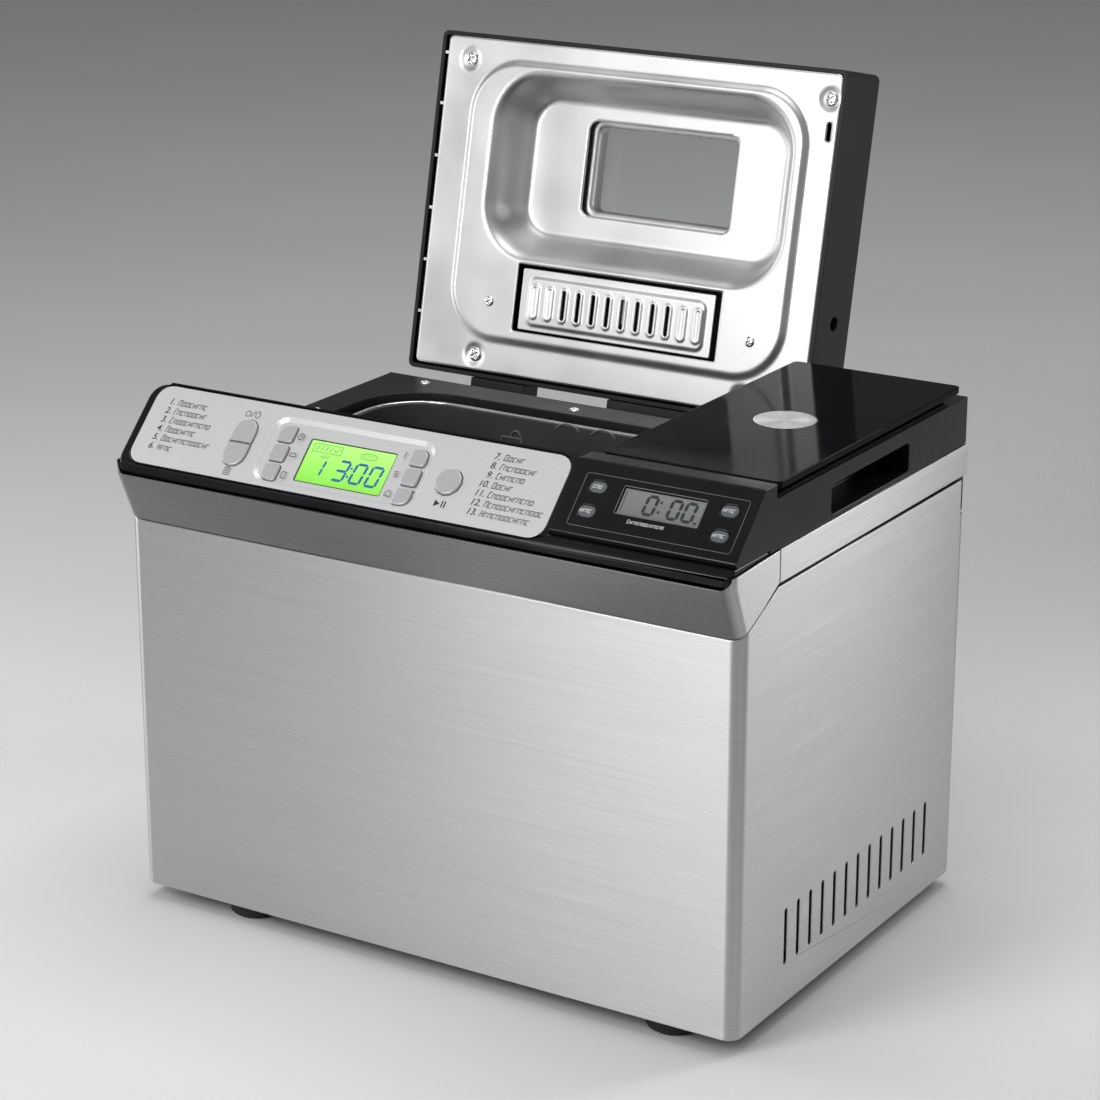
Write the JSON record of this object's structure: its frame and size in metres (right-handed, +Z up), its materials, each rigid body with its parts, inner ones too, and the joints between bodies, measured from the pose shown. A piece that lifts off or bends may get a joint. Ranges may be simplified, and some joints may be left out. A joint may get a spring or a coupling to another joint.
{
  "type": "bread machine",
  "caption": "Bread machine with a sloping control panel, a hinged lid with a window, a lift-out pan and a kitchen scale beside it",
  "frame": {"origin": "on the floor, under the middle of the machine's overall box with its lid open", "axes": "+X to the right of someone facing the controls, -Y towards them, +Z up"},
  "size_m": [0.35, 0.3402, 0.4123],
  "materials": {
    "steel": "fine grain along the width",
    "silver": "silver lacquer",
    "black": "satin black",
    "black_glass": "gloss, painted black behind",
    "clear": "clear",
    "green_display": "lime green liquid crystal",
    "grey_display": "grey liquid crystal",
    "grey": "satin grey",
    "rubber": "matt",
    "liner": "pressed sheet, satin",
    "non_stick": "dark non-stick coat",
    "bright_steel": "bright",
    "sheet_steel": "zinc coated sheet",
    "alloy": "machined",
    "board": "green circuit board"
  },
  "bodies": {
    "case": {"base_pan": "black", "foot_front_left": "rubber", "foot_front_right": "rubber", "foot_back_left": "rubber", "foot_back_right": "rubber", "outer_wrap": "steel", "front_band": "steel", "side_trim": "steel", "back_panel": "black", "cord_inlet": "rubber", "control_housing": "black", "control_plate": "silver", "control_display": "green_display", "control_board": "board", "top_deck": "black", "hinge_pin_left": "bright_steel", "hinge_pin_right": "bright_steel", "chassis": "sheet_steel", "oven_chamber": "sheet_steel", "heating_element": "sheet_steel", "temperature_probe": "bright_steel", "shaft_bearing": "sheet_steel", "drive_belt": "rubber", "motor": "sheet_steel", "power_board": "board", "scale_housing": "black", "scale_display": "grey_display", "load_cell": "alloy"},
    "lid": {"lid_shell": "black", "lid_liner": "liner", "lid_window": "clear", "hinge_arm_left": "black", "hinge_arm_right": "black"},
    "flap": {"steam_flap": "liner"},
    "pan": {"bread_pan": "non_stick"},
    "bail": {"pan_handle": "bright_steel"},
    "drive": {"drive_pulley": "black", "drive_shaft": "bright_steel", "drive_coupler": "bright_steel"},
    "motor_rotor": {"motor_pulley": "bright_steel"},
    "kneader": {"pan_shaft": "bright_steel", "kneading_paddle": "non_stick"},
    "platform": {"scale_glass": "black_glass", "scale_disc": "bright_steel", "scale_tray": "black"},
    "left_key_top_cap": {"left_key_top": "silver"},
    "left_key_middle_cap": {"left_key_middle": "silver"},
    "left_key_bottom_cap": {"left_key_bottom": "silver"},
    "right_key_top_cap": {"right_key_top": "silver"},
    "right_key_middle_cap": {"right_key_middle": "silver"},
    "right_key_bottom_cap": {"right_key_bottom": "silver"},
    "select_key_up_cap": {"select_key_up": "silver"},
    "select_key_down_cap": {"select_key_down": "silver"},
    "start_key_cap": {"start_key": "silver"},
    "scale_key_zero_cap": {"scale_key_zero": "grey"},
    "scale_key_power_cap": {"scale_key_power": "grey"},
    "scale_key_hold_cap": {"scale_key_hold": "grey"},
    "scale_key_unit_cap": {"scale_key_unit": "grey"}
  },
  "joints": [
    {"name": "lid_hinge", "type": "hinge", "parent": "case", "child": "lid", "pos_m": [0, 0.07257, 0.2164], "axis": [-1, 0, 0], "range_deg": [-102.27, 0]},
    {"name": "flap_hinge", "type": "hinge", "parent": "lid", "child": "flap", "pos_m": [0, 0.09734, 0.26065], "axis": [1, 0, 0], "range_deg": [0, 75]},
    {"name": "pan_lift", "type": "slide", "parent": "case", "child": "pan", "axis": [0, 0, 1], "range_m": [0, 0.23]},
    {"name": "bail_hinge", "type": "hinge", "parent": "pan", "child": "bail", "pos_m": [-0.0465, -0.03738, 0.2145], "axis": [-1, 0, 0], "range_deg": [0, 180]},
    {"name": "drive_spin", "type": "hinge", "parent": "case", "child": "drive", "pos_m": [-0.0465, -0.03738, 0.03], "axis": [0, 0, 1], "continuous": true},
    {"name": "motor_spin", "type": "hinge", "parent": "case", "child": "motor_rotor", "pos_m": [0.1215, -0.03738, 0.03], "axis": [0, 0, 1], "continuous": true},
    {"name": "kneader_spin", "type": "hinge", "parent": "pan", "child": "kneader", "pos_m": [-0.0465, -0.03738, 0.07], "axis": [0, 0, 1], "continuous": true},
    {"name": "platform_press", "type": "slide", "parent": "case", "child": "platform", "axis": [0, 0, -1], "range_m": [0, 0.0005], "stiffness_N_per_m": 80000, "springref_m": -0.0001},
    {"name": "left_key_top_press", "type": "slide", "parent": "case", "child": "left_key_top_cap", "axis": [0, 0.7071, -0.7071], "range_m": [0, 0.001], "stiffness_N_per_m": 1500},
    {"name": "left_key_middle_press", "type": "slide", "parent": "case", "child": "left_key_middle_cap", "axis": [0, 0.7071, -0.7071], "range_m": [0, 0.001], "stiffness_N_per_m": 1500},
    {"name": "left_key_bottom_press", "type": "slide", "parent": "case", "child": "left_key_bottom_cap", "axis": [0, 0.7071, -0.7071], "range_m": [0, 0.001], "stiffness_N_per_m": 1500},
    {"name": "right_key_top_press", "type": "slide", "parent": "case", "child": "right_key_top_cap", "axis": [0, 0.7071, -0.7071], "range_m": [0, 0.001], "stiffness_N_per_m": 1500},
    {"name": "right_key_middle_press", "type": "slide", "parent": "case", "child": "right_key_middle_cap", "axis": [0, 0.7071, -0.7071], "range_m": [0, 0.001], "stiffness_N_per_m": 1500},
    {"name": "right_key_bottom_press", "type": "slide", "parent": "case", "child": "right_key_bottom_cap", "axis": [0, 0.7071, -0.7071], "range_m": [0, 0.001], "stiffness_N_per_m": 1500},
    {"name": "select_key_up_press", "type": "slide", "parent": "case", "child": "select_key_up_cap", "axis": [0, 0.7071, -0.7071], "range_m": [0, 0.001], "stiffness_N_per_m": 1500},
    {"name": "select_key_down_press", "type": "slide", "parent": "case", "child": "select_key_down_cap", "axis": [0, 0.7071, -0.7071], "range_m": [0, 0.001], "stiffness_N_per_m": 1500},
    {"name": "start_key_press", "type": "slide", "parent": "case", "child": "start_key_cap", "axis": [0, 0.7071, -0.7071], "range_m": [0, 0.001], "stiffness_N_per_m": 1500},
    {"name": "scale_key_zero_press", "type": "slide", "parent": "case", "child": "scale_key_zero_cap", "axis": [0, 0.7071, -0.7071], "range_m": [0, 0.0008], "stiffness_N_per_m": 1500},
    {"name": "scale_key_power_press", "type": "slide", "parent": "case", "child": "scale_key_power_cap", "axis": [0, 0.7071, -0.7071], "range_m": [0, 0.0008], "stiffness_N_per_m": 1500},
    {"name": "scale_key_hold_press", "type": "slide", "parent": "case", "child": "scale_key_hold_cap", "axis": [0, 0.7071, -0.7071], "range_m": [0, 0.0008], "stiffness_N_per_m": 1500},
    {"name": "scale_key_unit_press", "type": "slide", "parent": "case", "child": "scale_key_unit_cap", "axis": [0, 0.7071, -0.7071], "range_m": [0, 0.0008], "stiffness_N_per_m": 1500}
  ],
  "couplings": [
    {"joint": "motor_spin", "follows": "drive_spin", "ratio": 4.6667},
    {"joint": "kneader_spin", "follows": "drive_spin", "ratio": 1}
  ]
}
